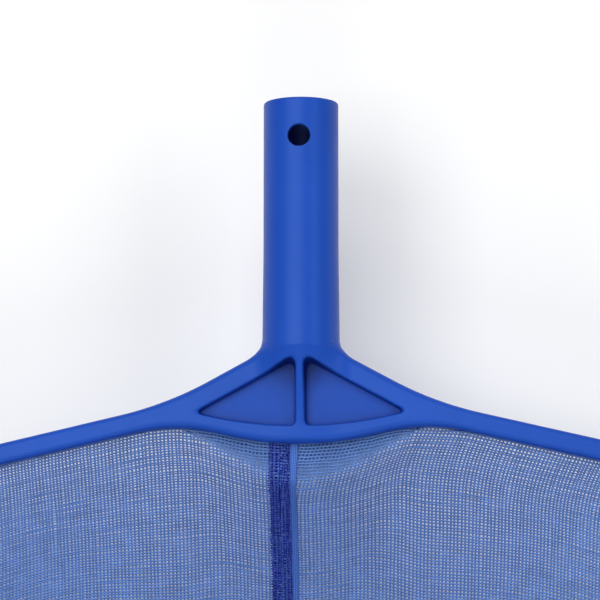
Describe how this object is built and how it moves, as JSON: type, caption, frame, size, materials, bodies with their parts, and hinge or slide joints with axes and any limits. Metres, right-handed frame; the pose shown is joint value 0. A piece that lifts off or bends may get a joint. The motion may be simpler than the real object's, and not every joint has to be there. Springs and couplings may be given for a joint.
{
  "type": "leaf skimmer head",
  "caption": "Hand leaf skimmer head for a pool or spa: a hoop of two screwed mouldings holds a seamed mesh bag, with a tube handle that plugs into a telescopic pole.",
  "frame": {"origin": "on the handle's axis, level with the cross hole that the pole's spring button locks in", "axes": "+Y along the handle towards its open end, +Z square to the hoop, out of the mouth and away from the bag, +X to the right seen from the front"},
  "size_m": [0.351, 0.3784, 0.0818],
  "materials": {
    "frame_plastic": "glossy blue polypropylene moulding",
    "screw_steel": "plain stainless steel screws",
    "net_mesh": "fine light blue polyester mesh",
    "tape_webbing": "navy woven polyester tape",
    "sewing_thread": "blue polyester sewing thread"
  },
  "bodies": {
    "root": {"front_frame": "frame_plastic", "rear_frame": "frame_plastic", "clamp_screws": "screw_steel", "net_left": "net_mesh", "net_right": "net_mesh", "hem_binding": "tape_webbing", "hem_thread": "sewing_thread", "seam_tape": "tape_webbing", "seam_facing": "net_mesh", "seam_thread": "sewing_thread"}
  },
  "joints": []
}
